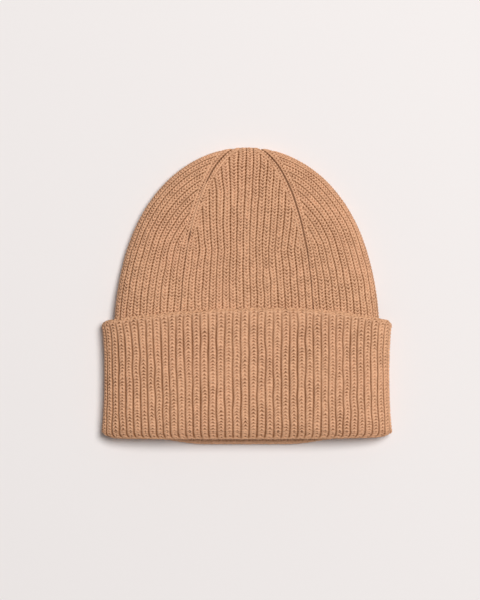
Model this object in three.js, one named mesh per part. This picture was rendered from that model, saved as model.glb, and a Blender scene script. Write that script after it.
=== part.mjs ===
// A rib-knit beanie with a turned-up cuff, lying flat on its back.
//
// Frame: +X across the hat, +Y from the mouth to the apex of the crown, +Z up from the table.
// The origin is under the middle of the hat, on the table. Lengths are in millimetres.
//
// The hat is a flattened tube. Its layers, from the table up, are the back of the cuff, the back
// of the hat, the hollow for the head, the front of the hat and the front of the cuff. Panels
// are bounded by the wales where the darts end, as the hat is knitted and linked.

import * as THREE from 'three';

const { clamp, lerp, smoothstep } = THREE.MathUtils;

// ---- Driving dimensions ---------------------------------------------------------------------

const FABRIC = 3.6; // thickness of one layer of rib knitting
const GAP = 0.3; // clearance between two layers and between two linked edges
const APEX_Y = 113.2; // top of the crown

// Outline of the crown, seen from above: half-width against depth below the apex.
const CROWN_WIDTH = 102.2;
const CROWN_SPAN = 182;
const CROWN_POWER = 2.88;

// The dart lines in the crown: distance from the centre line against depth below the apex.
const WEDGE_WIDTH = 50;
const WEDGE_SPAN = 150;
const WEDGE_POWER = 2.15;
const APEX_WEDGE = 9; // half-width of the front and back wedges where they cross the apex
const DART_START_Y = 35; // below this the panels run on as plain ribs

// Heights of the hat's own fabric: its top, its side folds and its underside.
const HAT_CREST = { cuff: 22.1, crown: 19.5, from: -8, to: 30 };
const HAT_FOLD = { cuff: 9.5, crown: 6, from: -16, to: 30 };
const HAT_FLOOR = { cuff: FABRIC + GAP, crown: 0, from: -16, to: 4 };
const HAT_ROUND = { top: 55, floor: 8 }; // how far in from the edge the fold's rounding reaches

// The cuff, turned up over the outside.
const CUFF_WIDTH = 110;
const CUFF_WAIST = 1.3; // how far the cuff's sides draw in at mid height
const CUFF_CORNER = { in: 0.6, height: 5 }; // how the cuff narrows just above the mouth
const CUFF_WEDGE = 57.4; // half-width of the cuff's front and back panels
const CUFF_CREST = 26;
const CUFF_FOLD = 8.5;
const CUFF_ROUND = { top: 60, floor: 14 };
const CUFF_EDGE_Y = -19.3; // free edge at the side folds and across the back
const CUFF_ARCH = 10.2; // how far the free edge rises across the front
const CUFF_ARCH_POWER = 2.1; // how flat that rise is in the middle
const EDGE_WIDTH = 2.4; // cast-on edge, along Y
const EDGE_DEPTH = 2.8; // cast-on edge, through the fabric
const EDGE_SUNK = 0.4; // cast-on edge, below the surface of the cuff
const EDGE_INSET = 0.3; // cast-on edge, in from the side folds

// The mouth, where the fabric turns up.
const MOUTH_Y = -103; // start of the roll
const ROLL_AT_FOLD = 2.2; // reach of the roll at the side folds
const ROLL_FRONT = { extra: 3.7, taper: 0.24 }; // extra reach, and the share lost near the folds
const ROLL_BACK = { extra: 8, taper: 0.6 };
const ROLL_CORNER = 40; // how square the roll's ends are

// Linked seams: narrow strips set below the surface of the fabric.
const SEAM_HALF = 1;
const SEAM_SUNK = 1;
const SEAM_DEPTH = 2.2;
const SEAM_OPENING = { from: 6, to: 1 }; // how far below the darts the joints widen for the seams
const SIDE_TOP = 3; // depth below the apex where the side panels end
const DART_TOP = 9; // depth below the apex where the dart seams end
const APEX_SKIM = 1; // depth below the apex where the front and back wedges end
const CLOSURE_HALF = 0.9; // half-thickness of the crown's closure
const CLOSURE_INSET = 2; // the closure's ends, in from the dart seams

// ---- Materials ------------------------------------------------------------------------------

const yarn = (color) => new THREE.MeshStandardMaterial({ color, roughness: 0.95, metalness: 0 });
const KNIT = yarn(0xc4926e);
const LINKING = yarn(0xa97856);
const CAST_ON = yarn(0xd2a07a);

// ---- Curves and sections --------------------------------------------------------------------

// Half-width of a dome at a depth below its apex.
function dome(depth, width, span, power) {
  return width * Math.sqrt(1 - (1 - clamp(depth / span, 0, 1)) ** power);
}

// The rounding of a fold: 0 at the edge and 1 where the fabric lies flat.
function rise(distance, reach) {
  return Math.sqrt(1 - (1 - clamp(distance / reach, 0, 1)) ** 3);
}

// A height that changes from its value under the cuff to its value in the crown.
function change(stages, y) {
  return lerp(stages.cuff, stages.crown, smoothstep(y, stages.from, stages.to));
}

const crownHalf = (y) => dome(APEX_Y - y, CROWN_WIDTH, CROWN_SPAN, CROWN_POWER);

function wedgeHalf(y) {
  return Math.hypot(APEX_WEDGE, dome(APEX_Y - y, WEDGE_WIDTH, WEDGE_SPAN, WEDGE_POWER));
}

// The crown's outline as short straight pieces, closest together at the apex.
const OUTLINE_PIECES = 120;
const outlinePoints = Array.from({ length: OUTLINE_PIECES + 1 }, (_, i) => {
  const y = APEX_Y - CROWN_SPAN * (i / OUTLINE_PIECES) ** 2;
  return new THREE.Vector3(crownHalf(y), y, 0);
});
outlinePoints.push(new THREE.Vector3(CROWN_WIDTH, 2 * MOUTH_Y, 0));
const outline = outlinePoints.slice(1).map((end, i) => new THREE.Line3(outlinePoints[i], end));

function edgeDistance(x, y) {
  const point = new THREE.Vector3(Math.abs(x), y, 0);
  const nearest = new THREE.Vector3();
  const distanceTo = (piece) => piece.closestPointToPoint(point, true, nearest).distanceTo(point);
  return Math.min(...outline.map(distanceTo));
}

// A point on the outside of the hat, on its front (side = 1) or its back (side = -1).
function hatPoint(side, x, y) {
  const distance = edgeDistance(x, y);
  const fold = change(HAT_FOLD, y);
  const flat = side > 0 ? change(HAT_CREST, y) : change(HAT_FLOOR, y);
  const reach = side > 0 ? HAT_ROUND.top : HAT_ROUND.floor;
  return new THREE.Vector3(x, y, lerp(fold, flat, rise(distance, reach)));
}

function cuffHalf(y) {
  const along = (y - MOUTH_Y) / (CUFF_EDGE_Y - MOUTH_Y);
  const corner = CUFF_CORNER.in * smoothstep(-y, -MOUTH_Y - CUFF_CORNER.height, -MOUTH_Y);
  return CUFF_WIDTH - CUFF_WAIST * Math.sin(Math.PI * clamp(along, 0, 1)) - corner;
}

function cuffPoint(side, x, y) {
  const distance = cuffHalf(y) - Math.abs(x);
  const flat = side > 0 ? CUFF_CREST : 0;
  const reach = side > 0 ? CUFF_ROUND.top : CUFF_ROUND.floor;
  return new THREE.Vector3(x, y, lerp(CUFF_FOLD, flat, rise(distance, reach)));
}

function cuffEdgeY(side, x) {
  const fromMiddle = clamp(Math.abs(x) / CUFF_WIDTH, 0, 1);
  return CUFF_EDGE_Y + (side > 0 ? CUFF_ARCH * (1 - fromMiddle ** CUFF_ARCH_POWER) : 0);
}

// ---- Solids from surfaces -------------------------------------------------------------------

const spread = (from, to, count, ease = 1) =>
  Array.from({ length: count }, (_, i) => lerp(to, from, (1 - i / (count - 1)) ** ease));

// The unit normal of surface(u, v), measured inside the ranges of u and v.
function normalAt(surface, u, v, us, vs) {
  const step = 1e-3;
  const slope = (a, b) => surface(...b).sub(surface(...a));
  const inside = (value, all) => clamp(value, Math.min(...all), Math.max(...all));
  const du = (us.at(-1) - us[0]) * step;
  const dv = (vs.at(-1) - vs[0]) * step;
  const alongU = slope([inside(u - du, us), v], [inside(u + du, us), v]);
  const alongV = slope([u, inside(v - dv, vs)], [u, inside(v + dv, vs)]);
  return alongU.cross(alongV).normalize();
}

// Joins rings of points into a closed solid, each ring to the next, and closes both ends.
function loft(rings) {
  const size = rings[0].length;
  const last = (rings.length - 1) * size;
  const indices = [];
  for (let start = 0; start < last; start += size) {
    for (let i = 0; i < size; i++) {
      const [a, b] = [start + i, start + ((i + 1) % size)];
      indices.push(a, b + size, b, a, a + size, b + size);
    }
  }
  const addCapFace = (a, b, c) => indices.push(a, b, c, last + a, last + c, last + b);
  for (let i = 0, j = size - 1; i + 1 < j; i++, j--) {
    addCapFace(i, i + 1, j);
    if (i + 1 < j - 1) addCapFace(i + 1, j - 1, j);
  }
  const coordinates = rings.flat().flatMap((point) => point.toArray());
  const geometry = new THREE.BufferGeometry();
  geometry.setAttribute('position', new THREE.Float32BufferAttribute(coordinates, 3));
  geometry.setIndex(indices);
  geometry.computeVertexNormals();
  return geometry;
}

// A sheet of fabric: surface(u, v) offset by the two distances along its outward normal. The
// cross product of its u and v directions points out of the hat.
function sheet(surface, us, vs, outer = 0, inner = -FABRIC) {
  const rings = vs.map((v) => {
    const points = us.map((u) => surface(u, v));
    const normals = us.map((u) => normalAt(surface, u, v, us, vs));
    const layer = (offset) => points.map((p, i) => p.clone().addScaledVector(normals[i], offset));
    return [...layer(inner), ...layer(outer).reverse()];
  });
  return loft(rings);
}

const hat = new THREE.Group();

function add(name, geometry, material) {
  const mesh = new THREE.Mesh(geometry, material);
  mesh.name = name;
  hat.add(mesh);
}

// Adds a right-hand sheet, and its mirror image with u run backwards so that it still faces out.
function addPair(names, surface, us, vs, material, outer, inner) {
  const mirrored = (u, v) => {
    const point = surface(-u, v);
    point.x = -point.x;
    return point;
  };
  add(names.right, sheet(surface, us, vs, outer, inner), material);
  add(names.left, sheet(mirrored, us.map((u) => -u).reverse(), vs, outer, inner), material);
}

// ---- The hat's own panels -------------------------------------------------------------------

// Half of the room between two panels: a hair's breadth along the ribs, a seam's width in a dart.
function jointHalf(y) {
  const opening = smoothstep(y, DART_START_Y - SEAM_OPENING.from, DART_START_Y - SEAM_OPENING.to);
  return lerp(GAP / 2, SEAM_HALF + GAP, opening);
}

// Rows of stitches shared by every panel and seam, so that their edges stay side by side.
const lowRows = [...spread(MOUTH_Y + GAP, -20, 4), ...spread(-14, 12, 6)];
const wedgeRows = [...lowRows, ...spread(22, APEX_Y - APEX_SKIM, 15, 1.8)];
const rowsBetween = (from, to) => wedgeRows.filter((v) => v >= from && v <= to);
const sideRows = rowsBetween(MOUTH_Y, APEX_Y - SIDE_TOP);

function frontWedge(u, v) {
  return hatPoint(1, u * (wedgeHalf(v) - jointHalf(v)), v);
}

// The right half of the back, from the outer edge (u = 0) to the centre back seam (u = 1).
function backWedge(u, v) {
  return hatPoint(-1, lerp(wedgeHalf(v) - jointHalf(v), SEAM_HALF + GAP, u), v);
}

// Wraps round the right fold, from the front wedge (u = -1) to the back wedge (u = 1).
function sideWedge(u, v) {
  const outerX = crownHalf(v);
  const innerX = wedgeHalf(v) + jointHalf(v);
  return hatPoint(u < 0 ? 1 : -1, lerp(outerX, innerX, u * u), v);
}

const acrossFold = spread(-1, 1, 15);
const acrossFront = spread(-1, 1, 9);
const acrossBack = spread(0, 1, 4);
const backPanels = { right: 'back_right_panel', left: 'back_left_panel' };
add('front_panel', sheet(frontWedge, acrossFront, wedgeRows), KNIT);
addPair({ right: 'right_panel', left: 'left_panel' }, sideWedge, acrossFold, sideRows, KNIT);
addPair(backPanels, backWedge, acrossBack, wedgeRows, KNIT);

// ---- The hat's linked seams -----------------------------------------------------------------

const dartRows = rowsBetween(DART_START_Y, APEX_Y - DART_TOP);
for (const [side, place] of [[1, 'front'], [-1, 'back']]) {
  const dart = (u, v) => hatPoint(side, wedgeHalf(v) + side * u * SEAM_HALF, v);
  const names = { right: `${place}_right_dart_seam`, left: `${place}_left_dart_seam` };
  addPair(names, dart, [-1, 1], dartRows, LINKING, -SEAM_SUNK, -SEAM_SUNK - SEAM_DEPTH);
}

const backSeam = (u, v) => hatPoint(-1, -u * SEAM_HALF, v);
add('back_seam', sheet(backSeam, [-1, 1], sideRows, -SEAM_SUNK, -SEAM_SUNK - SEAM_DEPTH), LINKING);

// A short bar over the top edge, between the ends of the front wedge and the back wedge.
const closureBar = new THREE.Shape();
const closureFront = APEX_Y - CLOSURE_HALF;
closureBar.moveTo(APEX_Y - FABRIC, -CLOSURE_HALF);
closureBar.lineTo(closureFront, -CLOSURE_HALF);
closureBar.absarc(closureFront, 0, CLOSURE_HALF, -Math.PI / 2, Math.PI / 2, false);
closureBar.lineTo(APEX_Y - FABRIC, CLOSURE_HALF);
closureBar.closePath();
const closure = new THREE.ExtrudeGeometry(closureBar, {
  depth: 2 * (APEX_WEDGE - CLOSURE_INSET),
  bevelEnabled: false,
  curveSegments: 4,
});
closure.translate(0, 0, CLOSURE_INSET - APEX_WEDGE);
closure.rotateX(Math.PI / 2).rotateZ(Math.PI / 2); // its length to X, and its section to Y and Z
closure.translate(0, 0, HAT_FOLD.crown);
add('crown_closure', closure, LINKING);

// ---- The cuff -------------------------------------------------------------------------------

// A point on the cuff, from the roll (v = 0) to just short of the cast-on edge (v = 1).
function cuffRow(side, x, v) {
  return cuffPoint(side, x, lerp(MOUTH_Y + GAP, cuffEdgeY(side, x) - EDGE_WIDTH - GAP, v));
}

function cuffSide(u, v) {
  const side = u < 0 ? 1 : -1;
  const foldX = cuffHalf(cuffRow(side, CUFF_WIDTH, v).y);
  return cuffRow(side, lerp(foldX, CUFF_WEDGE + GAP / 2, u * u), v);
}

const cuffRows = spread(0, 1, 7);
const cuffFront = (u, v) => cuffRow(1, u * (CUFF_WEDGE - GAP / 2), v);
const cuffBack = (u, v) => cuffRow(-1, lerp(CUFF_WEDGE - GAP / 2, SEAM_HALF + GAP, u), v);
const cuffSeam = (u, v) => cuffRow(-1, -u * SEAM_HALF, v);
const cuffBacks = { right: 'cuff_back_right', left: 'cuff_back_left' };
add('cuff_front', sheet(cuffFront, acrossFront, cuffRows), KNIT);
addPair({ right: 'cuff_right', left: 'cuff_left' }, cuffSide, acrossFold, cuffRows, KNIT);
addPair(cuffBacks, cuffBack, acrossBack, cuffRows, KNIT);
add('cuff_back_seam', sheet(cuffSeam, [-1, 1], cuffRows, -SEAM_SUNK, -SEAM_SUNK - SEAM_DEPTH), LINKING);

// The cast-on edge, across the front and across the back, and closest set at the side folds.
const acrossEdge = spread(-1, 1, 25).map((u) => Math.sin((u * Math.PI) / 2));
for (const [side, place] of [[1, 'front'], [-1, 'back']]) {
  const halfWidth = cuffHalf(CUFF_EDGE_Y) - EDGE_INSET;
  const castOn = (u, v) => {
    const x = side * u * halfWidth;
    return cuffPoint(side, x, cuffEdgeY(side, x) - v * EDGE_WIDTH);
  };
  const solid = sheet(castOn, acrossEdge, [1, 0], -EDGE_SUNK, -EDGE_SUNK - EDGE_DEPTH);
  add(`cuff_edge_${place}`, solid, CAST_ON);
}

// ---- The mouth ------------------------------------------------------------------------------

// The roll joins the outside of the cuff to the inside of the hat. Each ring is half an ellipse,
// bulging towards -Y, and the rings run from one side fold to the other.
function roll(side, { extra, taper }) {
  const hatFlat = side > 0 ? HAT_CREST.cuff - FABRIC : HAT_FLOOR.cuff + FABRIC;
  const hatReach = side > 0 ? HAT_ROUND.top : HAT_ROUND.floor;
  const insideHalf = CROWN_WIDTH - FABRIC;
  const rings = acrossEdge.map((u) => {
    const outer = cuffPoint(side, side * u * cuffHalf(MOUTH_Y), MOUTH_Y);
    const insideZ = lerp(CUFF_FOLD, hatFlat, rise(insideHalf * (1 - Math.abs(u)), hatReach));
    const inner = new THREE.Vector3(side * u * insideHalf, MOUTH_Y, insideZ);
    const middle = outer.clone().lerp(inner, 0.5);
    const across = outer.clone().sub(middle);
    const lost = taper * u ** 2 + (1 - taper) * u ** ROLL_CORNER;
    const reach = ROLL_AT_FOLD + extra * (1 - lost);
    return spread(-90, 90, 9).map((degrees) => {
      const angle = THREE.MathUtils.degToRad(degrees);
      const point = middle.clone().addScaledVector(across, Math.sin(angle));
      point.y = MOUTH_Y - reach * Math.cos(angle);
      return point;
    });
  });
  return loft(rings);
}

add('mouth_fold_front', roll(1, ROLL_FRONT), KNIT);
add('mouth_fold_back', roll(-1, ROLL_BACK), KNIT);

export default hat;
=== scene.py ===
"""Looks of a rib-knit beanie with a turned-up cuff, lying flat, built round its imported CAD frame.

Frame: +X across the hat, +Y from the mouth to the apex of the crown, +Z up from the table. Sizes below are
in millimetres and turn into metres when a mesh is made. Every panel is a dense sheet of stitches laid over a
smooth surface, which follows the CAD panel that it replaces except where a comment says otherwise.

Ribs are numbered round the hat: 0 is the rib at the middle of the front, 20 is the rib on the side fold and
40 is the middle of the back. Grooves lie at the half numbers. The panels join in grooves 9.5 and 30.5.
"""

import math

import bpy
import numpy as np
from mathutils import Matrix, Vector


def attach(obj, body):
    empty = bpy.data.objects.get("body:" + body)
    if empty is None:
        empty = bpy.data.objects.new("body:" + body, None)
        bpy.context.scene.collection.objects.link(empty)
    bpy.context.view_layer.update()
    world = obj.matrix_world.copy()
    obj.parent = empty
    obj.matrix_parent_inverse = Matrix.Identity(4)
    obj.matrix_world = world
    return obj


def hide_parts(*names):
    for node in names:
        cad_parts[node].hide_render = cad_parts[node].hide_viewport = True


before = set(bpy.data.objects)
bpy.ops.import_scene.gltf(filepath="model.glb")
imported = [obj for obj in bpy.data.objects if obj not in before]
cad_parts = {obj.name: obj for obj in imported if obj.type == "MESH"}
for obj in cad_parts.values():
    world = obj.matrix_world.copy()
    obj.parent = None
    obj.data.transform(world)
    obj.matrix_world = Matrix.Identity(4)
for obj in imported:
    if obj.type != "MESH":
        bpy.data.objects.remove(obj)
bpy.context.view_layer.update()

# ---- Shape, in the CAD model's dimensions and the places where the knitting leaves them ---------------

FABRIC, GAP, APEX_Y = 3.6, 0.3, 113.2
CROWN_WIDTH, CROWN_SPAN, CROWN_POWER = 102.2, 182.0, 2.88
APEX_RADIUS = 82.7  # of the arc that the wedges' rows of vertices and the closure follow near the apex
APEX_ARC_FROM, APEX_ARC_FULL = 55.0, 105.0  # where those rows bend into it
WEDGE_WIDTH, WEDGE_SPAN, WEDGE_POWER, APEX_WEDGE = 50.0, 150.0, 2.15, 9.0
DART_START_Y = 35.0
HAT_CREST = (22.1, 19.5, -8.0, 30.0)  # under the cuff, in the crown, and where it changes
HAT_FOLD = (9.5, 6.0, -16.0, 30.0)
HAT_FLOOR = (FABRIC + GAP, 0.0, -16.0, 4.0)
HAT_ROUND_TOP, HAT_ROUND_FLOOR = 55.0, 8.0
CUFF_WIDTH, CUFF_WAIST, CUFF_WEDGE = 110.0, 1.3, 57.4
# The knitting spreads at the free edge and the mouth. The CAD model doesn't, and it narrows above the mouth.
CUFF_FLARE = 0.7
CUFF_CREST, CUFF_FOLD = 26.0, 8.5
CUFF_ROUND_TOP, CUFF_ROUND_FLOOR = 60.0, 14.0
CUFF_EDGE_Y, CUFF_ARCH = -19.3, 10.2  # the free edge at the side folds, and its rise at x = EDGE_MIDDLE
# The free edge and the front roll are uneven from left to right, as in the photo. The CAD model's are even.
EDGE_MIDDLE, EDGE_POWER_LEFT, EDGE_POWER_RIGHT = 12.0, 1.9, 2.4
# Beyond the CAD model, the free edge turns down into the side folds.
EDGE_ROUND, EDGE_ROUND_DROP, EDGE_ROUND_POWER = 4.0, 2.2, 2.5
MOUTH_Y, ROLL_AT_FOLD, ROLL_FRONT, ROLL_BACK = -103.0, 2.2, 3.7, 8.0
# Beyond the CAD model, the upper fabric sinks at the mouth, over this length, gets painted shade and reads
# smoother.
MOUTH_SAG, MOUTH_SAG_REACH, MOUTH_SHADE, MOUTH_RELIEF = 2.4, 15.0, 0.34, 0.75
ROLL_TAPER_LEFT, ROLL_TAPER_RIGHT = 0.12, 0.35  # share of the front roll that fades gradually to each side
ROLL_HALF_HEIGHT, ROLL_THICKNESS, ROLL_RELIEF = 3.8, 1.8, 0.12
BAND_THICKNESS = 1.6  # thinner than the CAD model's
BAND_INSET_FRONT, BAND_INSET_BACK = 0.05, 0.35  # how far the edge bands end short of the side folds
SEAM_HALF = 1.0

# ---- Knitting ----------------------------------------------------------------------------------------

FRONT_GROOVE, FOLD_RIB, BACK_RIB = 9.5, 20.0, 40.0
CROWN_COURSE, CUFF_COURSE = 2.4, 2.44  # height of one row of stitches
CUFF_PITCH, CUFF_PITCH_FALL = 6.148, 0.00118  # rib spacing at the middle of the cuff, and how it closes up
# How far the ribs stand from their numbers, how much that grows on the left with each mm up the cuff, and how
# much is added beside the left fold.
CUFF_SHIFT, CUFF_LEAN, CUFF_TUCK = 0.22, 0.0055, 0.18
CROWN_PITCH_Y = (35.0, 65.0, 80.0, 92.0, 103.0)  # rib spacing in the crown's wedges
CROWN_PITCH = (4.8, 5.2, 5.25, 5.6, 5.9)
DRIFT_Y = (0.0, 24.0, 41.0, 55.0, 72.0, 105.0)  # how far the front wedge's middle rib wanders from x = 0
DRIFT = (0.0, -0.6, -0.5, 0.0, 0.8, 2.6)
BORDER = 4.0  # width of the rib that runs along each side of a dart
JOINT = 0.06  # half of the room between two panels in a dart
NOTCH_SHADE = 0.7  # painted shade added for each mm by which the fabric turns down into a dart
NOISE_COLUMNS, NOISE_ROWS = 61, 67
TONE_RIBS, TONE_ROWS = 97, 178


def smoothstep(a, low, high):
    t = np.clip((a - low) / (high - low), 0, 1)
    return t * t * (3 - 2 * t)


def lerp(a, b, t):
    return a + (b - a) * t


def dome(depth, width, span, power):
    return width * np.sqrt(1 - (1 - np.clip(depth / span, 0, 1)) ** power)


def rise(distance, reach):
    return np.sqrt(np.maximum(0, 1 - (1 - np.clip(distance / reach, 0, 1)) ** 3))


def change(stages, y):
    cuff, crown, start, end = stages
    return lerp(cuff, crown, smoothstep(y, start, end))


def crown_half(y):
    return dome(APEX_Y - y, CROWN_WIDTH, CROWN_SPAN, CROWN_POWER)


def wedge_half(y):
    return np.hypot(APEX_WEDGE, dome(APEX_Y - y, WEDGE_WIDTH, WEDGE_SPAN, WEDGE_POWER))


def noise(x, y, seed):
    """Smooth noise from 0 to 1 with features one unit across, the same on every run."""
    table = np.random.default_rng(seed).random((NOISE_COLUMNS, NOISE_ROWS))
    x, y = np.broadcast_arrays(np.asarray(x, float), np.asarray(y, float))
    xi, yi = np.floor(x).astype(int), np.floor(y).astype(int)
    fx, fy = x - xi, y - yi
    fx, fy = fx * fx * (3 - 2 * fx), fy * fy * (3 - 2 * fy)

    def corner(i, j):
        return table[(xi + i) % NOISE_COLUMNS, (yi + j) % NOISE_ROWS]

    return lerp(lerp(corner(0, 0), corner(1, 0), fx), lerp(corner(0, 1), corner(1, 1), fx), fy)


def lumps(x, y):
    """How far the soft fabric stands off its smooth shape."""
    x = np.abs(x)
    return 0.9 * (noise(x / 34 + 7, y / 30, 5) - 0.5) + 0.4 * (noise(x / 13, y / 17, 6) - 0.5)


# ---- Outline of the crown and the dart lines ---------------------------------------------------------


def polyline(ys, half):
    return np.stack([half(ys), ys], axis=-1)


outline_y = np.concatenate([[-400.0], APEX_Y - CROWN_SPAN * np.linspace(1, 0, 161) ** 2])
OUTLINE = polyline(outline_y, crown_half)
dart_line_y = np.concatenate([[-400.0], APEX_Y - WEDGE_SPAN * np.linspace(1, 0, 121) ** 2])
DART = polyline(dart_line_y, wedge_half)


def distance_to(line, x, y):
    """Distance in plan from points to a line of straight pieces, on the x >= 0 side."""
    points = np.stack([np.abs(x).ravel(), y.ravel()], axis=-1)
    start, step = line[:-1], np.diff(line, axis=0)
    long2 = (step**2).sum(1)
    best = np.empty(len(points))
    for first in range(0, len(points), 4000):
        off = points[first : first + 4000, None] - start
        t = np.clip((off * step).sum(2) / long2, 0, 1)
        best[first : first + 4000] = np.sqrt(((off - t[..., None] * step) ** 2).sum(2).min(1))
    return best.reshape(np.shape(x))


def sag(side, y):
    """How far the upper fabric has sunk where it nears the fold at the mouth."""
    return MOUTH_SAG * np.clip((MOUTH_Y + MOUTH_SAG_REACH - y) / MOUTH_SAG_REACH, 0, 1.1) ** 2 * (side > 0)


def hat_z(side, x, y, distance):
    flat = change(HAT_CREST if side > 0 else HAT_FLOOR, y) - sag(side, y)
    up = rise(distance, HAT_ROUND_TOP if side > 0 else HAT_ROUND_FLOOR)
    soft = lumps(x, y) * smoothstep(distance, 2, 14) if side > 0 else 0
    return lerp(change(HAT_FOLD, y), flat, up) + soft


def cuff_half(y):
    along = np.clip((y - MOUTH_Y) / (CUFF_EDGE_Y - MOUTH_Y), 0, 1)
    across = np.sin(np.pi * along)
    return CUFF_WIDTH - CUFF_WAIST * across + CUFF_FLARE * (1 - across) ** 2


def cuff_z(side, x, y):
    distance = cuff_half(y) - np.abs(x)
    flat = (CUFF_CREST if side > 0 else 0.0) - sag(side, y)
    up = rise(distance, CUFF_ROUND_TOP if side > 0 else CUFF_ROUND_FLOOR)
    soft = lumps(np.abs(x) + 90, y) * smoothstep(distance, 2, 14) if side > 0 else 0
    return lerp(CUFF_FOLD, flat, up) + soft


def cuff_edge(side, x):
    on_left = x < EDGE_MIDDLE
    to_fold = CUFF_WIDTH + np.where(on_left, 1, -1) * EDGE_MIDDLE
    from_middle = np.minimum(1, np.abs(x - EDGE_MIDDLE) / to_fold)
    arch = 1 - from_middle ** np.where(on_left, EDGE_POWER_LEFT, EDGE_POWER_RIGHT)
    turn = np.clip(1 - (CUFF_WIDTH - np.abs(x)) / EDGE_ROUND, 0, 1)
    drop = EDGE_ROUND_DROP * turn**EDGE_ROUND_POWER
    return CUFF_EDGE_Y - drop + (CUFF_ARCH * arch if side > 0 else 0 * arch)


# ---- Stitches ------------------------------------------------------------------------------------------

# slope: how far a stitch's legs lean along the rib by the time they reach its edge, in rows
# groove, crease, spine: depths in millimetres of the grooves between ribs, of the creases between stitches
#     and of the holes down a rib's middle
# round: how square a rib's section is
# spine_width: how far the holes reach to either side, in half ribs
# purl: how many millimetres the purl bumps fill a groove by
# dark_groove, dark_crease, dark_spine: how much painted shade each of them gets
# dotted: how much the bumps break up the painted shade of a groove
# flank: where that painted shade starts, from 0 at a rib's middle to 1 at the groove, on its lower-numbered
#     half and on its higher-numbered half
CROWN_STITCH = {
    "slope": 0.9, "groove": 2.5, "round": 3.2, "crease": 1.1, "spine": 1.15, "spine_width": 0.27, "purl": 1.0,
    "dark_groove": 2.6, "dark_crease": 0.95, "dark_spine": 0.5, "dotted": 0.92, "flank": (0.62, 0.62),
}
CUFF_STITCH = {
    "slope": 0.7, "groove": 2.7, "round": 3.0, "crease": 1.2, "spine": 0.85, "spine_width": 0.27, "purl": 0.4,
    "dark_groove": 1.2, "dark_crease": 0.85, "dark_spine": 0.5, "dotted": 0.4, "flank": (0.7, 0.54),
}
STITCH_TONES = np.random.default_rng(11).random((TONE_RIBS, TONE_ROWS))


def knit(kappa, t, point, seed, stitch, relief=1.0, legs=1.0, end=None):
    """Height of the knitting below the rib crests at each point, and what its material reads there: painted
    shade in the grooves, painted shade in the creases and holes, and each stitch's own tone.

    kappa is the rib number, t the row of stitches, and end how far a rib is from where it stops, in half
    ribs."""
    x, y = point[..., 0], point[..., 1]
    wavy = kappa + 0.16 * (noise(kappa * 0.8 + 3, y / 11, seed) - 0.5)
    rib = np.rint(wavy)
    uneven = 0.9 * noise(rib * 7.31, y / 23, seed + 1)
    t = t + uneven + rib * 0.37 + 0.5 * noise(kappa * 2.3, y / 4.3, seed + 4)
    bump = 0.5 + 0.5 * np.cos(2 * np.pi * t)
    u = np.abs(2 * (wavy - rib))
    right = wavy > rib
    u = np.clip(u + 0.16 * (bump - 0.5) * u**2, 0, 1)
    column = np.sqrt(np.maximum(0, 1 - (0.985 * u) ** stitch["round"]))
    if end is not None:
        column = np.minimum(column, 0.7 + 0.3 * np.sqrt(np.maximum(0, 1 - (1 - np.clip(end, 0, 1)) ** 2)))
    phase = t - stitch["slope"] * u
    row = np.floor(phase)
    leg = np.sqrt(np.maximum(0, 1 - ((phase - row - 0.5) / 0.53) ** 2))
    tone = STITCH_TONES[rib.astype(int) % TONE_RIBS, (2 * row + right).astype(int) % TONE_ROWS]
    size = 0.6 + 0.8 * tone
    flank = np.where(right, stitch["flank"][1], stitch["flank"][0])
    within = 1 - 0.8 * smoothstep(u, 0.45 + 0.6 * (0.68 - flank), 1.0)
    # random variation in how much painted shade the creases get
    uneven_crease_shade = 0.6 + 0.8 * noise(kappa * 0.6 + 9, y / 6, seed + 3)
    hole = np.exp(-((u / stitch["spine_width"]) ** 2)) * (0.5 + 0.5 * np.cos(2 * np.pi * (phase + 0.1)))
    deep = 0.88 + 0.3 * noise(kappa * 0.5, y / 19, seed + 2)
    purl = smoothstep(u, 0.72, 0.95) * bump * stitch["purl"]
    height = -relief * (deep * stitch["groove"] * (1 - column) - purl)
    height = height - legs * (stitch["crease"] * size * (1 - leg) * within + stitch["spine"] * hole)
    # painted shade in the grooves, and in the creases between stitches and the holes down a rib's middle
    shadow = smoothstep(u, flank, 0.98) * deep * (1 - stitch["dotted"] * bump)
    painted_shade = np.clip(relief * stitch["dark_groove"] * shadow, 0, 1)
    dark = stitch["dark_crease"] * (1 - leg) * within * size + stitch["dark_spine"] * hole
    crease = np.clip(legs * uneven_crease_shade * dark, 0, 1)
    return height, np.stack([painted_shade, crease, tone], axis=-1), np.stack([wavy, phase, u], axis=-1)


# ---- Meshes --------------------------------------------------------------------------------------------

INSIDE_MARKS = (0.75, 0.0, 0.5)  # what the material reads on the inside of a sheet: painted shade, no crease shade and a middle tone
INSIDE_RIBS = 0.35  # height of the ribs there

materials = {}


def make_mesh(name, points, faces, smooth, attributes):
    """A mesh from points in millimetres and a list of face arrays of three or four corners."""
    mesh = bpy.data.meshes.new(name)
    loops = np.concatenate([f.ravel() for f in faces]).astype(np.int32)
    sizes = np.concatenate([np.full(len(f), f.shape[1]) for f in faces])
    starts = np.concatenate([[0], np.cumsum(sizes)[:-1]]).astype(np.int32)
    mesh.vertices.add(len(points))
    mesh.vertices.foreach_set("co", (points * 0.001).astype(np.float32).ravel())
    mesh.loops.add(len(loops))
    mesh.loops.foreach_set("vertex_index", loops)
    mesh.polygons.add(len(sizes))
    mesh.polygons.foreach_set("loop_start", starts)
    mesh.polygons.foreach_set("use_smooth", smooth)
    for label, values in attributes.items():
        layer = mesh.attributes.new(label, "FLOAT_VECTOR", "POINT")
        layer.data.foreach_set("vector", values.astype(np.float32).ravel())
    mesh.update()
    mesh.validate()
    return mesh


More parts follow.
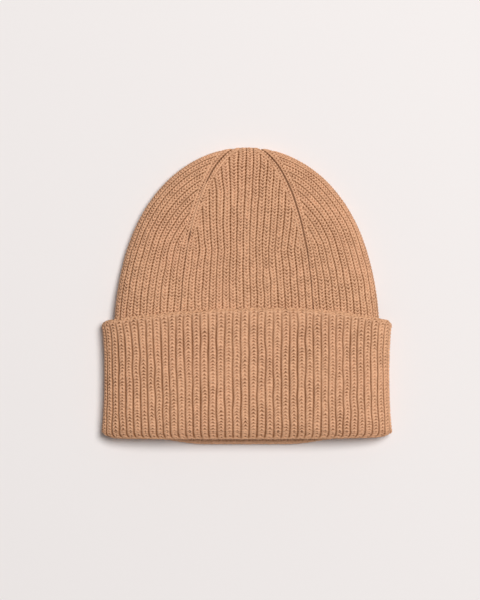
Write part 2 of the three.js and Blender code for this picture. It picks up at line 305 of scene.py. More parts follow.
def add_piece(name, mesh, body, material, node):
    piece = bpy.data.objects.new(name, mesh)
    bpy.context.scene.collection.objects.link(piece)
    mesh.materials.append(materials[material])
    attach(piece, body)
    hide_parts(node)
    return piece


def quads(grid):
    return np.stack([grid[:-1, :-1], grid[:-1, 1:], grid[1:, 1:], grid[1:, :-1]], axis=-1).reshape(-1, 4)


def rim(outer, inner):
    """Triangles between a dense row of vertices and a sparse row beside it that starts and ends with it."""
    at = np.linspace(0, len(inner) - 1, len(outer))
    near = np.minimum(np.rint(at).astype(int), len(inner) - 1)
    fans = np.stack([outer[:-1], outer[1:], inner[near[:-1]]], axis=-1)
    turn = np.nonzero(near[1:] != near[:-1])[0]
    closing = np.stack([outer[turn + 1], inner[near[turn + 1]], inner[near[turn]]], axis=-1)
    return [fans, closing]


def sheet_mesh(name, base, height, marks, wales, up, thickness=FABRIC, sparse=(5, 4), probe=0.5):
    """A closed sheet: dense stitches on the outside of the surface base, and a plainer inside.

    up is the sign of the outward normal's Z near the first column, and probe is how far along it that is
    read."""
    rows, columns = base.shape[:2]
    down_rows, across = np.gradient(base, axis=0), np.gradient(base, axis=1)
    normal = np.cross(across, down_rows)
    length = np.linalg.norm(normal, axis=-1, keepdims=True)
    normal = normal / np.maximum(length, 1e-9)
    sign = 1.0 if normal[int(rows * probe), 1, 2] * up > 0 else -1.0
    normal = normal * sign
    outer = base + normal * height[..., None]
    r = np.unique(np.append(np.arange(0, rows, sparse[0]), rows - 1))
    c = np.unique(np.append(np.arange(0, columns, sparse[1]), columns - 1))
    purl = INSIDE_RIBS * np.cos(2 * np.pi * wales[..., 0])
    inner = (base - normal * (thickness + purl[..., None]))[np.ix_(r, c)]
    index = np.arange(rows * columns).reshape(rows, columns)
    inside = rows * columns + np.arange(len(r) * len(c)).reshape(len(r), len(c))
    out, back = quads(index), quads(inside)[:, ::-1]
    walls = [*rim(index[0][::-1], inside[0][::-1]), *rim(index[-1], inside[-1])]
    walls += [*rim(index[:, 0], inside[:, 0]), *rim(index[:, -1][::-1], inside[:, -1][::-1])]
    faces = [out, back, *walls]
    if sign < 0:
        faces = [f[:, ::-1] for f in faces]
    points = np.concatenate([outer.reshape(-1, 3), inner.reshape(-1, 3)])
    # the inside of the sheet gets painted shade
    dark = np.tile(INSIDE_MARKS, (inside.size, 1))
    smooth = np.concatenate([np.full(len(f), i < 2) for i, f in enumerate(faces)])
    attributes = {
        "marks": np.concatenate([marks.reshape(-1, 3), dark]),
        "wales": np.concatenate([wales.reshape(-1, 3), wales[np.ix_(r, c)].reshape(-1, 3)]),
    }
    return make_mesh(name, points, faces, smooth, attributes)


def mirrored(base, flip):
    return base * np.array([-1.0, 1.0, 1.0]) if flip else base


def along(values):
    """Running length of a row of points along its first axis."""
    return np.concatenate([[0], np.cumsum(np.linalg.norm(np.diff(values, axis=0), axis=-1))])


def steps(low, high, size):
    return np.linspace(low, high, max(2, int(math.ceil((high - low) / size)) + 1))


# ---- The crown's front and back wedges -----------------------------------------------------------------

FINE, COARSE = 0.42, 0.75  # spacing of the rows of vertices, and under the cuff
HIDDEN_Y = -25.0
DART_LEAD, DART_SETTLE = 8.0, 4.0  # a dart fades in from below its start to above it
BORDER_FROM, BORDER_FULL = 28.0, 55.0  # where the rib beside a dart takes on its own width
ENDS_FROM, ENDS_FULL = 26.0, 40.0  # where the other ribs start to end at it
TIP_FROM, TIP_FULL = 103.0, 109.0  # where the back's ribs are squeezed together beside the closure
CRISP_FROM, CRISP_FULL = 84.0, 90.0  # where the front left dart turns sharp
CRISP_SPOT_Y, CRISP_SPOT_LENGTH = 45.0, 3.5  # and the one spot lower down where it is nearly as sharp

depths = (APEX_Y - HIDDEN_Y) * np.linspace(0, 1, 4000) ** 2
centre = np.stack([APEX_Y - depths, hat_z(1, 0 * depths, APEX_Y - depths, depths)], axis=-1)[::-1]
centre_run = along(centre)
dart_y = np.linspace(-130, APEX_Y, 4000)
dart_run = along(polyline(dart_y, wedge_half))


def run_of(y):
    """Length of the fabric up the middle of the crown, from the level where the cuff hides it."""
    return np.where(y < HIDDEN_Y, y - HIDDEN_Y, np.interp(y, centre[:, 0], centre_run))


def dart_run_of(y):
    return np.interp(y, dart_y, dart_run) - np.interp(HIDDEN_Y, dart_y, dart_run)


def crown_rows():
    fine = np.interp(steps(0, centre_run[-1], FINE), centre_run, centre[:, 0])
    return np.concatenate([steps(MOUTH_Y + GAP, HIDDEN_Y, COARSE)[:-1], fine])


def joint(y):
    return JOINT * smoothstep(y, DART_START_Y - DART_LEAD, DART_START_Y)


def dart_shaped(y):
    return smoothstep(y, DART_START_Y - DART_LEAD, DART_START_Y + DART_SETTLE)


def border_width(pitch, y):
    return lerp(pitch, BORDER, smoothstep(y, BORDER_FROM, BORDER_FULL))


def rib_end(to_dart, border, pitch, y):
    """How far a rib is from where it runs into the rib beside a dart, in half ribs."""
    return (to_dart - border) / (0.45 * pitch) + 2 * (1 - smoothstep(y, ENDS_FROM, ENDS_FULL))


def crown_relief(to_dart, border, y, side, x):
    flatter = lerp(1, 0.75, smoothstep(y, 106, APEX_Y))
    return flatter * dart_relief(to_dart, y, side, x) * border_relief(to_dart, border, y)


def turned_down(height, marks, notch):
    """The height of the knitting with a dart's notch in it, which gets as much painted shade as it is deep.
    """
    marks[..., 0] = np.clip(marks[..., 0] + notch * NOTCH_SHADE, 0, 1)
    return height - notch


def rib_pitch(y):
    return np.where(y < DART_START_Y, wedge_half(y) / FRONT_GROOVE, np.interp(y, CROWN_PITCH_Y, CROWN_PITCH))


def wedge(side, us, seed, name, flip=False):
    """The front wedge, or half of the back wedge, with u = 1 at the dart."""
    level = crown_rows()[:, None]
    y = level + 0 * us
    for _ in range(4):
        x = us * (wedge_half(y) - joint(y))
        y = level - smoothstep(level, APEX_ARC_FROM, APEX_ARC_FULL) * x**2 / (2 * APEX_RADIUS)
    distance = distance_to(OUTLINE, x, y)
    base = np.stack([x, y, hat_z(side, x, y, distance)], axis=-1)
    pitch = rib_pitch(y)
    to_dart = distance_to(DART, x, y)
    border = border_width(pitch, y)
    in_border = to_dart < border
    drift = np.interp(y, DRIFT_Y, DRIFT) * (1 - (x / wedge_half(y)) ** 2) if side > 0 else 0
    kappa = np.where(in_border, np.sign(x) * (FRONT_GROOVE - to_dart / border), (x - drift) / pitch)
    t = np.where(in_border, dart_run_of(y), run_of(y)) / CROWN_COURSE
    end = np.where(in_border, 1, rib_end(to_dart, border, pitch, y))
    notch = dart_notch(to_dart, y, side, x)
    if side < 0:
        kappa = np.where(kappa >= 0, BACK_RIB - kappa, -BACK_RIB - kappa)
    relief = crown_relief(to_dart, border, y, side, x)
    number = -kappa if flip else kappa
    legs = tip_legs(y, side)
    height, marks, wales = knit(number, t, base, seed, CROWN_STITCH, relief=relief, legs=legs, end=end)
    height = turned_down(height, marks, notch)
    return sheet_mesh(name, mirrored(base, flip), height, marks, wales, side)


def dart_crisp(y, side, x):
    """How sharply a dart is drawn: the front left one only near the apex and in one spot low down."""
    spot = np.exp(-(((y - CRISP_SPOT_Y) / CRISP_SPOT_LENGTH) ** 2))
    sharp = np.maximum(smoothstep(y, CRISP_FROM, CRISP_FULL), 0.8 * spot)
    return np.where((side > 0) & (x < 0), sharp, 1.0)


def border_relief(to_dart, border, y):
    """The inner groove of the rib beside a dart is soft, since the other ribs run into it."""
    shaped = dart_shaped(y)
    return 1 - 0.55 * shaped * smoothstep(to_dart / border, 0.55, 0.95) * (to_dart < border)


def tip_legs(y, side):
    """How deep the creases are: shallow where the back's ribs are squeezed together beside the closure."""
    return 1 - 0.8 * smoothstep(y, TIP_FROM, TIP_FULL) if side < 0 else 1.0


def dart_relief(to_dart, y, side, x):
    """The groove between the two ribs beside a soft dart is shallow."""
    shaped = dart_shaped(y)
    return 1 - 0.7 * shaped * (1 - dart_crisp(y, side, x)) * smoothstep(-to_dart, -2.2, -1.0)


def dart_notch(to_dart, y, side, x):
    """How far the fabric turns down into the dart seam, at a distance from it."""
    depth = 1.5 * dart_shaped(y) * lerp(1, 0.3, smoothstep(y, 102, 110))
    return depth * dart_crisp(y, side, x) * (1 - np.clip(to_dart / 0.9, 0, 1)) ** 2


# ---- The crown's side wedges ---------------------------------------------------------------------------

SIDE_COLUMNS = (11, 7)  # columns of vertices for each rib, on top and underneath
outline_fine_y = np.concatenate([[MOUTH_Y + GAP], APEX_Y - CROWN_SPAN * np.linspace(1, 0, 6000) ** 2])
outline_fine = polyline(outline_fine_y, crown_half)
outline_run = along(outline_fine)
outline_out, outline_up = (np.gradient(outline_fine[:, k], outline_run) for k in (0, 1))
outline_turn = np.arctan2(-outline_out, outline_up)
outline_turn[0] = 0


def side_panel(name, flip, seed):
    """A side wedge from the front dart round the fold to the back dart, in lines square to the outline."""
    tip = np.nonzero(outline_fine[:, 0] > APEX_WEDGE + 1.6)[0][-1]
    hidden = np.interp(HIDDEN_Y, outline_fine[:, 1], outline_run)
    run = np.concatenate([steps(0, hidden, COARSE)[:-1], steps(hidden, outline_run[tip], FINE)])
    on_outline = (outline_fine[:, 0], outline_fine[:, 1], outline_turn)
    x0, y0, turn = (np.interp(run, outline_run, values) for values in on_outline)
    low, high = np.zeros(len(run)), np.full(len(run), 70.0)
    for _ in range(40):
        middle = (low + high) / 2
        y = y0 - middle * np.sin(turn)
        outside = x0 - middle * np.cos(turn) > wedge_half(y) + joint(y)
        low, high = np.where(outside, middle, low), np.where(outside, high, middle)
    reach = np.maximum(low, 0.3)
    hit_y = y0 - reach * np.sin(turn)
    slope = (wedge_half(hit_y + 0.05) - wedge_half(hit_y - 0.05)) / 0.1
    facing = (np.cos(turn) - slope * np.sin(turn)) / np.hypot(1, slope)
    halves = []
    for side, per_rib in zip((1, -1), SIDE_COLUMNS):
        count = int((FOLD_RIB - FRONT_GROOVE) * per_rib) + 1
        share = np.linspace(0, 1, count)
        fine = np.linspace(0, 1, 240) ** 2
        d_fine = reach[:, None] * fine
        x_fine = x0[:, None] - d_fine * np.cos(turn)[:, None]
        y_fine = y0[:, None] - d_fine * np.sin(turn)[:, None]
        z_fine = hat_z(side, x_fine, y_fine, d_fine)
        s_fine = np.concatenate(
            [np.zeros((len(run), 1)), np.cumsum(np.hypot(np.diff(d_fine), np.diff(z_fine)), axis=1)], axis=1
        )
        full = s_fine[:, -1]
        pitch = full / (FOLD_RIB - FRONT_GROOVE)
        shaped = np.nonzero(hit_y >= DART_START_Y)[0]
        pitch[shaped] = pitch[shaped[0]]
        s = full[:, None] * share
        d = np.stack([np.interp(a, b, c) for a, b, c in zip(s, s_fine, d_fine)])
        rib = np.rint(s / pitch[:, None])
        s_rib = rib * pitch[:, None]
        d_rib = np.stack([np.interp(a, b, c) for a, b, c in zip(s_rib, s_fine, d_fine)])
        x = x0[:, None] - d * np.cos(turn)[:, None]
        y = y0[:, None] - d * np.sin(turn)[:, None]
        base = np.stack([x, y, hat_z(side, x, y, d)], axis=-1)
        to_dart = (reach[:, None] - d) * facing[:, None]
        border = border_width(pitch, hit_y)[:, None]
        in_border = to_dart < border
        from_fold = np.where(in_border, FOLD_RIB - FRONT_GROOVE - to_dart / border, s / pitch[:, None])
        kappa = FOLD_RIB - side * from_fold
        run_here = run[:, None] - hidden - d_rib * turn[:, None]
        t = np.where(in_border, dart_run_of(y), run_here) / CROWN_COURSE
        end = np.where(in_border, 1, rib_end(to_dart, border, pitch[:, None], hit_y[:, None]))
        seen_x = -x if flip else x
        notch = dart_notch(to_dart, y, side, seen_x)
        relief = crown_relief(to_dart, border, y, side, seen_x)
        number = -kappa if flip else kappa
        legs = tip_legs(y, side)
        height, marks, wales = knit(number, t, base, seed, CROWN_STITCH, relief=relief, legs=legs, end=end)
        height = turned_down(height, marks, notch)
        halves.append([base, height[..., None], marks, wales])
    joined = [np.concatenate([front[:, ::-1], back[:, 1:]], axis=1) for front, back in zip(*halves)]
    base, height, marks, wales = joined
    return sheet_mesh(name, mirrored(base, flip), height[..., 0], marks, wales, 1, sparse=(6, 5))


# ---- The cuff ------------------------------------------------------------------------------------------

CUFF_STEP = 0.38  # spacing of the rows of vertices
CUFF_COLUMNS = (13, 8)  # columns of vertices for each rib of a side, on top and underneath
CUFF_TOP = 2.1  # the ribs stop this far short of the free edge


def cuff_row(side, x, v):
    return lerp(MOUTH_Y, cuff_edge(side, x) - CUFF_TOP, v)


def cuff_rib(kappa, y):
    """The rib at a place across the cuff: ribs stand left of the panels' middles, and lean on the left."""
    on_left = CUFF_LEAN * (y + 62) * smoothstep(-kappa, 2, 12) + CUFF_TUCK * smoothstep(-kappa, 12, 19)
    return kappa + CUFF_SHIFT + on_left


def mouth_shade(y):
    """How much painted shade the fabric gets where it curves down and turns over at the mouth."""
    return MOUTH_SHADE * smoothstep(-y, -MOUTH_Y - 8, -MOUTH_Y + 5)


def cuff_knit(base, kappa, side, seed, hand=1):
    y = base[..., 1]
    below_edge = cuff_edge(side, hand * base[..., 0]) - CUFF_TOP - y
    above_roll = y - MOUTH_Y
    relief = lerp(0.3, 0.8, smoothstep(below_edge, 0, 2.5)) + 0.2 * smoothstep(below_edge, 2, 18)
    relief = relief * lerp(MOUTH_RELIEF, 1, smoothstep(above_roll, 0, 5))
    rib = cuff_rib(kappa, y)
    height, marks, wales = knit(rib, -above_roll / CUFF_COURSE, base, seed, CUFF_STITCH, relief=relief)
    marks[..., 0] = np.clip(marks[..., 0] + mouth_shade(y), 0, 1)
    return height, marks, wales


def cuff_x(kappa):
    return kappa * (CUFF_PITCH - CUFF_PITCH_FALL * kappa**2)


def cuff_middle(name, side, kappas, seed, flip=False):
    v = np.linspace(0, 1, int(90 / CUFF_STEP))[:, None]
    if side > 0:
        x = cuff_x(kappas) + 0 * v
        number = kappas + 0 * v
    else:
        x = kappas * CUFF_WEDGE / FRONT_GROOVE + 0 * v
        number = BACK_RIB - kappas + 0 * v
    y = cuff_row(side, x, v)
    base = np.stack([x, y, cuff_z(side, x, y)], axis=-1)
    height, marks, wales = cuff_knit(base, -number if flip else number, side, seed)
    return sheet_mesh(name, mirrored(base, flip), height, marks, wales, side)


def cuff_across(side, v, count, hand=1):
    """Points from the side fold to the side panel's edge, evenly spaced along the fabric, in each row v."""
    fold_x = cuff_half(cuff_row(side, hand * CUFF_WIDTH, v))
    d_fine = (fold_x - CUFF_WEDGE) * np.linspace(0, 1, 240) ** 2
    x_fine = fold_x - d_fine
    z_fine = cuff_z(side, x_fine, cuff_row(side, hand * x_fine, v))
    s_fine = np.concatenate(
        [np.zeros((len(v), 1)), np.cumsum(np.hypot(np.diff(x_fine), np.diff(z_fine)), axis=1)], axis=1
    )
    share = np.linspace(0, 1, count)
    x = np.stack([np.interp(share * run[-1], run, row) for run, row in zip(s_fine, x_fine)])
    return x, FOLD_RIB - side * (FOLD_RIB - FRONT_GROOVE) * share


def cuff_side(name, flip, seed):
    v = np.linspace(0, 1, int(86 / CUFF_STEP))[:, None]
    hand = -1 if flip else 1
    halves = []
    for side, per_rib in zip((1, -1), CUFF_COLUMNS):
        x, kappa = cuff_across(side, v, int((FOLD_RIB - FRONT_GROOVE) * per_rib) + 1, hand)
        y = cuff_row(side, hand * x, v)
        base = np.stack([x, y, cuff_z(side, x, y)], axis=-1)
        height, marks, wales = cuff_knit(base, hand * kappa + 0 * v, side, seed, hand)
        halves.append([base, height[..., None], marks, wales])
    joined = [np.concatenate([front[:, ::-1], back[:, 1:]], axis=1) for front, back in zip(*halves)]
    base, height, marks, wales = joined
    return sheet_mesh(name, mirrored(base, flip), height[..., 0], marks, wales, 1)


def ribs_across(side, per_rib):
    """X and rib number of points across the whole front or back of the cuff, at its mouth."""
    x, kappa = cuff_across(side, np.zeros((1, 1)), int((FOLD_RIB - FRONT_GROOVE) * per_rib) + 1)
    inner = np.linspace(0, FRONT_GROOVE, int(FRONT_GROOVE * per_rib) + 1)[:-1]
    inner_x = cuff_x(inner) if side > 0 else inner * CUFF_WEDGE / FRONT_GROOVE
    number = inner if side > 0 else BACK_RIB - inner
    x = np.concatenate([inner_x, x[0][::-1]])
    kappa = np.concatenate([number, kappa[::-1]])
    return np.concatenate([-x[:0:-1], x]), np.concatenate([-kappa[:0:-1], kappa])


def cuff_edge_band(name, side, seed):
    """The cast-on edge: the cuff's last courses, without grooves, tapering down to the fabric under them."""
    x, kappa = ribs_across(side, 12)
    half = cuff_half(CUFF_EDGE_Y - EDGE_ROUND_DROP) - (BAND_INSET_FRONT if side > 0 else BAND_INSET_BACK)
    x = x * half / np.abs(x).max()
    tau = np.linspace(0, 1, 16)[:, None]
    y = cuff_edge(side, x) - CUFF_TOP - 0.3 + (CUFF_TOP + 0.7) * tau
    drop = 2.9 * smoothstep(tau, 0.0, 1.1) if side > 0 else 1.2 * smoothstep(tau, 0.3, 1.0)
    z = cuff_z(side, x + 0 * tau, y) - side * drop
    base = np.stack([x + 0 * tau, y, z], axis=-1)
    number = cuff_rib(kappa, y)
    t = -(y - MOUTH_Y) / CUFF_COURSE
    height, marks, wales = knit(number, t, base, seed, CUFF_STITCH, relief=0.4, legs=0.9)
    return sheet_mesh(name, base, height - 0.1, marks, wales, side, thickness=BAND_THICKNESS, sparse=(3, 4))


def mouth_roll(name, side, extra, seed):
    """The fabric's turn from the cuff into the hat, as half a tube across the mouth.

    Behind, it draws in sooner on its way to the side folds than the CAD model's does."""
    x, kappa = ribs_across(side, 11)
    u = x / np.abs(x).max()
    mouth = 0 * x + MOUTH_Y
    outer = np.stack([x, mouth, cuff_z(side, x, mouth)], axis=-1)
    flat = HAT_CREST[0] - FABRIC - MOUTH_SAG if side > 0 else HAT_FLOOR[0] + FABRIC
    inside_half = CROWN_WIDTH - FABRIC
    inner_rise = rise(inside_half * (1 - np.abs(u)), HAT_ROUND_TOP if side > 0 else HAT_ROUND_FLOOR)
    inner = np.stack([u * inside_half, mouth, lerp(CUFF_FOLD, flat, inner_rise)], axis=-1)
    middle, across = (outer + inner) / 2, (outer - inner) / 2
    if side > 0:
        taper = np.where(u < 0, ROLL_TAPER_LEFT, ROLL_TAPER_RIGHT)
        reach = ROLL_AT_FOLD + extra * (1 - taper * u**2 - (1 - taper) * u**50)
    else:
        reach = ROLL_AT_FOLD + extra * (1 - 0.6 * smoothstep(np.abs(u), 0.3, 0.74) - 0.4 * u**30)
    angle = np.radians(np.linspace(90, -90, 44))[:, None]
    sine, out = np.sin(angle), np.cos(angle) ** (1 - 0.45 * np.abs(u) ** 8)
    base = middle + across * sine[..., None]
    base[..., 1] = MOUTH_Y - reach * out
    if side > 0:
        sinking = 2 * MOUTH_SAG / MOUTH_SAG_REACH * rise(cuff_half(MOUTH_Y) - np.abs(x), CUFF_ROUND_TOP)
        base[..., 2] -= sinking * reach * out * np.clip(sine, 0, 1) ** 2
    around = along(np.stack([reach[len(x) // 2] * out[:, 0], ROLL_HALF_HEIGHT * sine[:, 0]], axis=-1))
    turned = smoothstep(np.abs(sine), 0.4, 0.8)
    relief = ROLL_RELIEF + (MOUTH_RELIEF - ROLL_RELIEF) * turned + 0 * kappa
    t = around[:, None] / CUFF_COURSE + 0 * kappa
    ribs = cuff_rib(kappa, base[..., 1])
    height, marks, wales = knit(ribs, t, base, seed, CUFF_STITCH, relief=relief, legs=0.5 + 0.5 * turned)
    if side > 0:
        marks[..., 0] = np.clip(marks[..., 0] + mouth_shade(base[..., 1]), 0, 1)
    else:
        marks[..., :2] *= 0.3  # most painted shade is taken off the strip of it that shows below the front, which lies in the front roll's shadow
    return sheet_mesh(name, base, height, marks, wales, side, ROLL_THICKNESS, sparse=(4, 4), probe=0.05)


# ---- Chains of linking yarn ----------------------------------------------------------------------------

CHAIN_SIDES = 10
DART_CHAIN_RADIUS, DART_CHAIN_SUNK = 0.75, 2.3
SEAM_CHAIN_RADIUS, SEAM_CHAIN_SUNK = 1.2, 1.6


def chain(path, radius, course):
    """A closed tube along path that swells once in every course, as a chain of loops does."""
    run = along(path)
    count = int(run[-1] / 0.5) + 2
    at = np.linspace(0, run[-1], count)
    line = np.stack([np.interp(at, run, path[:, k]) for k in range(3)], axis=-1)
    ahead = np.gradient(line, axis=0)
    ahead = ahead / np.linalg.norm(ahead, axis=1, keepdims=True)
    aside = np.cross(ahead, [0, 0, 1.0])
    aside = aside / np.maximum(np.linalg.norm(aside, axis=1, keepdims=True), 1e-9)
    top = np.cross(aside, ahead)
    loop = np.abs(np.sin(np.pi * at / course))
    size = radius * (0.68 + 0.32 * loop) * np.minimum(1, 0.25 + np.minimum(at, run[-1] - at))
    turn = np.linspace(0, 2 * np.pi, CHAIN_SIDES + 1)[:-1]
    ring = np.cos(turn)[None, :, None] * aside[:, None] + np.sin(turn)[None, :, None] * top[:, None]
    points = line[:, None] + ring * size[:, None, None]
    index = np.arange(count * CHAIN_SIDES).reshape(count, CHAIN_SIDES)
    wrapped = np.concatenate([index, index[:, :1]], axis=1)
    ends = [index[0][None, ::-1], index[-1][None]]
    # darker all along, painted shade between the loops where they pinch in, and a tone that follows the loops
    marks = np.stack([0 * size + 0.35, 0.6 * (1 - loop), 0.3 + 0.4 * loop], axis=-1)
    marks = np.repeat(marks[:, None], CHAIN_SIDES, axis=1)
    wales = np.stack([at, at / course, 0 * at], axis=-1)
    wales = np.repeat(wales[:, None], CHAIN_SIDES, axis=1)
    return points.reshape(-1, 3), [quads(wrapped), *ends], marks.reshape(-1, 3), wales.reshape(-1, 3)


def chain_mesh(name, path, radius, course):
    points, faces, marks, wales = chain(path, radius, course)
    smooth = np.ones(sum(len(f) for f in faces), bool)
    return make_mesh(name, points, faces, smooth, {"marks": marks, "wales": wales})


def dart_path(side, sign, sunk):
    y = steps(DART_START_Y - 4, APEX_Y - 2, 1.0)
    x = wedge_half(y)
    z = hat_z(side, x, y, distance_to(OUTLINE, x, y)) - side * sunk
    return np.stack([sign * x, y, z], axis=-1)


# ---- Materials -----------------------------------------------------------------------------------------


def yarn(name, light, dark, seed):
    """Matt woollen yarn: painted shade mixed towards a warm dark colour where its marks say, a tone of its
    own for each stitch, soft patches, and fine fibres.
    """
    material = bpy.data.materials.new(name)
    material.use_nodes = True
    nodes, links = material.node_tree.nodes, material.node_tree.links
    nodes.clear()

    def node(kind, **settings):
        made = nodes.new(kind)
        for key, value in settings.items():
            setattr(made, key, value)
        return made

    def math_node(operation, a, b):
        made = node("ShaderNodeMath", operation=operation)
        for socket, value in zip(made.inputs, (a, b)):
            if isinstance(value, (int, float)):
                socket.default_value = value
            else:
                links.new(value, socket)
        return made.outputs[0]

    def clamp(value):
        made = node("ShaderNodeClamp")
        links.new(value, made.inputs[0])
        return made.outputs[0]

    def mix(factor, a, b):
        made = node("ShaderNodeMix", data_type="RGBA")
        for socket, value in ((made.inputs[0], factor), (made.inputs[6], a), (made.inputs[7], b)):
            if isinstance(value, (int, float)):
                socket.default_value = value
            elif isinstance(value, tuple):
                socket.default_value = (*value, 1)
            else:
                links.new(value, socket)
        return made.outputs[2]

    marks = node("ShaderNodeAttribute", attribute_name="marks")
    split = node("ShaderNodeSeparateXYZ")
    links.new(marks.outputs["Vector"], split.inputs[0])
    painted_shade, crease, tone = split.outputs
    place = node("ShaderNodeTexCoord").outputs["Object"]

    def texture(scale, detail, roughness=0.5):
        made = node("ShaderNodeTexNoise")
        made.inputs["Scale"].default_value = scale
        made.inputs["Detail"].default_value = detail
        made.inputs["Roughness"].default_value = roughness
        shift = node("ShaderNodeVectorMath", operation="ADD")
        shift.inputs[1].default_value = (seed * 0.37, seed * 0.11, 0)
        links.new(place, shift.inputs[0])
        links.new(shift.outputs[0], made.inputs["Vector"])
        return made.outputs["Fac"]

    patches, flecks, fibres = texture(26, 2), texture(420, 3, 0.6), texture(1700, 2, 0.7)
    shade = math_node("ADD", math_node("MULTIPLY", tone, 0.4), math_node("MULTIPLY", flecks, 0.42))
    colour = mix(math_node("SUBTRACT", shade, 0.12), light, tuple(c * 0.72 for c in light))
    rosy = math_node("MULTIPLY", math_node("SUBTRACT", patches, 0.45), 0.9)
    colour = mix(clamp(rosy), colour, (light[0], light[1] * 0.93, light[2] * 0.98))
    # painted shade: the grooves', creases', notches', mouth's and insides' marks mix the colour towards the
    # dark one
    colour = mix(clamp(math_node("MAXIMUM", painted_shade, crease)), colour, dark)

    bump = node("ShaderNodeBump")
    bump.inputs["Strength"].default_value = 0.55
    bump.inputs["Distance"].default_value = 0.0004
    links.new(math_node("ADD", math_node("MULTIPLY", flecks, 1.2), fibres), bump.inputs["Height"])

    shader = node("ShaderNodeBsdfPrincipled")
    shader.inputs["Roughness"].default_value = 0.92
    shader.inputs["Specular IOR Level"].default_value = 0.2
    shader.inputs["Sheen Weight"].default_value = 0.12
    shader.inputs["Sheen Roughness"].default_value = 0.5
    shader.inputs["Sheen Tint"].default_value = (1.0, 0.82, 0.68, 1)
    links.new(colour, shader.inputs["Base Color"])
    links.new(bump.outputs[0], shader.inputs["Normal"])
    output = node("ShaderNodeOutputMaterial")
    links.new(shader.outputs[0], output.inputs[0])
    materials[name] = material


# each yarn's colour, and the warm dark colour that its painted shade mixes towards
yarn("camel_rib_knit", (0.85, 0.486, 0.292), (0.17, 0.054, 0.011), 1)
yarn("camel_linking_yarn", (0.42, 0.21, 0.11), (0.25, 0.11, 0.05), 2)
yarn("camel_cast_on_yarn", (0.79, 0.446, 0.258), (0.17, 0.054, 0.011), 3)

# ---- Pieces --------------------------------------------------------------------------------------------

KNIT, LINKING, CAST_ON = "camel_rib_knit", "camel_linking_yarn", "camel_cast_on_yarn"
HAT_SEED, CUFF_SEED = 21, 51
across_front = np.linspace(-1, 1, 19 * 11 + 1)
across_back = np.linspace(1, (SEAM_HALF + GAP) / WEDGE_WIDTH, 9 * 9 + 1)


def knitted(name, mesh, body, node, material=KNIT):
    """Adds a knitted sheet to its body in the material given, and hides the CAD part that it replaces."""
    piece = add_piece(name, mesh, body, material, node)


knitted("front_panel_knit", wedge(1, across_front, HAT_SEED, "front_panel_knit"), "hat", "front_panel")
for flip, hand in ((False, "right"), (True, "left")):
    sign = -1 if flip else 1
    name = f"{hand}_panel_knit"
    knitted(name, side_panel(name, flip, HAT_SEED), "hat", f"{hand}_panel")
    name = f"back_{hand}_panel_knit"
    knitted(name, wedge(-1, across_back, HAT_SEED, name, flip), "hat", f"back_{hand}_panel")
    name = f"cuff_{hand}_knit"
    knitted(name, cuff_side(name, flip, CUFF_SEED), "cuff", f"cuff_{hand}")
    name = f"cuff_back_{hand}_knit"
    kappas = np.linspace(FRONT_GROOVE, (SEAM_HALF + GAP) * FRONT_GROOVE / CUFF_WEDGE, 9 * 9 + 1)
    knitted(name, cuff_middle(name, -1, kappas, CUFF_SEED, flip), "cuff", f"cuff_back_{hand}")
    for side, place in ((1, "front"), (-1, "back")):
        name = f"{place}_{hand}_dart_chain"
        mesh = chain_mesh(name, dart_path(side, sign, DART_CHAIN_SUNK), DART_CHAIN_RADIUS, CROWN_COURSE)
        add_piece(name, mesh, "hat", LINKING, f"{place}_{hand}_dart_seam")

kappas = np.linspace(-FRONT_GROOVE, FRONT_GROOVE, 19 * 13 + 1)
knitted("cuff_front_knit", cuff_middle("cuff_front_knit", 1, kappas, CUFF_SEED), "cuff", "cuff_front")
knitted("cuff_edge_front_band", cuff_edge_band("cuff_edge_front_band", 1, CUFF_SEED), "cuff",
        "cuff_edge_front", material=CAST_ON)
knitted("cuff_edge_back_band", cuff_edge_band("cuff_edge_back_band", -1, CUFF_SEED), "cuff", "cuff_edge_back",
        material=CAST_ON)
knitted("mouth_fold_front_knit", mouth_roll("mouth_fold_front_knit", 1, ROLL_FRONT, CUFF_SEED), "cuff",
        "mouth_fold_front")
knitted("mouth_fold_back_knit", mouth_roll("mouth_fold_back_knit", -1, ROLL_BACK, CUFF_SEED), "cuff",
        "mouth_fold_back")

y = steps(MOUTH_Y + 1, APEX_Y - 2, 1.0)
path = np.stack([0 * y, y, hat_z(-1, 0 * y, y, distance_to(OUTLINE, 0 * y, y)) + SEAM_CHAIN_SUNK], axis=-1)
path = np.concatenate([path, [[0, APEX_Y - 1.8, HAT_FOLD[1] - 0.4]]])
mesh = chain_mesh("back_seam_chain", path, SEAM_CHAIN_RADIUS, CROWN_COURSE)
add_piece("back_seam_chain", mesh, "hat", LINKING, "back_seam")
y = steps(MOUTH_Y + 1, CUFF_EDGE_Y - 1, 1.0)
path = np.stack([0 * y, y, cuff_z(-1, 0 * y, y) + SEAM_CHAIN_SUNK], axis=-1)
mesh = chain_mesh("cuff_back_seam_chain", path, SEAM_CHAIN_RADIUS, CUFF_COURSE)
add_piece("cuff_back_seam_chain", mesh, "cuff", LINKING, "cuff_back_seam")
x = steps(-APEX_WEDGE - 0.5, APEX_WEDGE + 0.5, 0.5)
path = np.stack([x, APEX_Y - 1.3 - x**2 / (2 * APEX_RADIUS), 0 * x + HAT_FOLD[1]], axis=-1)
mesh = chain_mesh("crown_closure_chain", path, 1.0, 2.6)
add_piece("crown_closure_chain", mesh, "hat", LINKING, "crown_closure")

# ---- Table, light and camera ---------------------------------------------------------------------------

TABLE_HALF, TABLE_Z = 4, -0.0004  # in metres

scene = bpy.context.scene

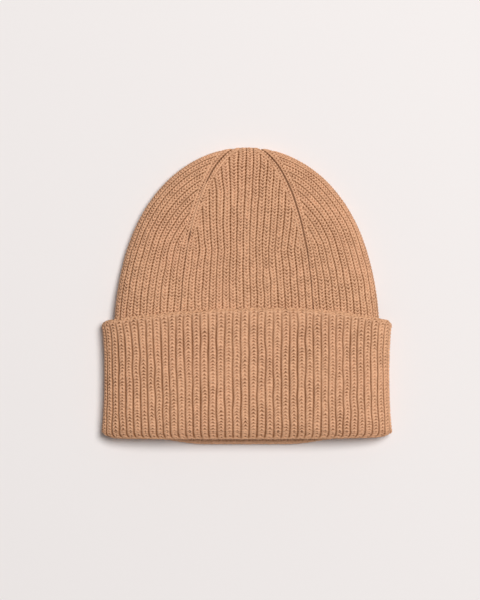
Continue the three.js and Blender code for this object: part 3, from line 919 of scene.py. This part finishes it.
mesh = bpy.data.meshes.new("table")
table_corners = [(x * TABLE_HALF, y * TABLE_HALF, TABLE_Z) for x, y in ((-1, -1), (1, -1), (1, 1), (-1, 1))]
mesh.from_pydata(table_corners, [], [(0, 1, 2, 3)])
table = bpy.data.objects.new("table", mesh)
scene.collection.objects.link(table)
paper = bpy.data.materials.new("pale_paper")
paper.use_nodes = True
surface = paper.node_tree.nodes["Principled BSDF"]
surface.inputs["Base Color"].default_value = (0.835, 0.803, 0.798, 1)
surface.inputs["Roughness"].default_value = 0.9
surface.inputs["Specular IOR Level"].default_value = 0.1
mesh.materials.append(paper)


def soft_light(name, place, target, size, watts, colour):
    light = bpy.data.lights.new(name, "AREA")
    light.shape = "DISK"
    light.size = size
    light.energy = watts
    light.color = colour
    lamp = bpy.data.objects.new(name, light)
    aim = np.array(target) - np.array(place)
    lamp.location = place
    lamp.rotation_mode = "QUATERNION"
    lamp.rotation_quaternion = Vector(aim).to_track_quat("-Z", "Y")
    scene.collection.objects.link(lamp)


soft_light("key", (1.2, 1.0, 4.0), (0, 0, 0), 2.2, 178, (1, 0.99, 0.98))

# A room with pale walls: bright near the horizon and dimmer overhead, where the key light is.
world = bpy.data.worlds.new("studio")
world.use_nodes = True
tree = world.node_tree
upward = tree.nodes.new("ShaderNodeSeparateXYZ")
tree.links.new(tree.nodes.new("ShaderNodeTexCoord").outputs["Generated"], upward.inputs[0])
ramp = tree.nodes.new("ShaderNodeValToRGB")
ramp.color_ramp.elements[0].position, ramp.color_ramp.elements[0].color = 0.06, (0.80, 0.775, 0.765, 1)
ramp.color_ramp.elements[1].position, ramp.color_ramp.elements[1].color = 0.30, (0.17, 0.167, 0.165, 1)
tree.links.new(upward.outputs[2], ramp.inputs[0])
tree.links.new(ramp.outputs[0], tree.nodes["Background"].inputs["Color"])
scene.world = world
scene.view_settings.view_transform = "Standard"

VIEW_HEIGHT, CAMERA_HEIGHT, OUTLINE_Z = 0.4566, 2.2, 0.0085
camera_data = bpy.data.cameras.new("camera")
camera_data.sensor_width = 36
camera_data.lens = 36 * CAMERA_HEIGHT / VIEW_HEIGHT
camera = bpy.data.objects.new("camera", camera_data)
camera.location = (-0.0052, -0.0032, OUTLINE_Z + CAMERA_HEIGHT)
scene.collection.objects.link(camera)
scene.camera = camera
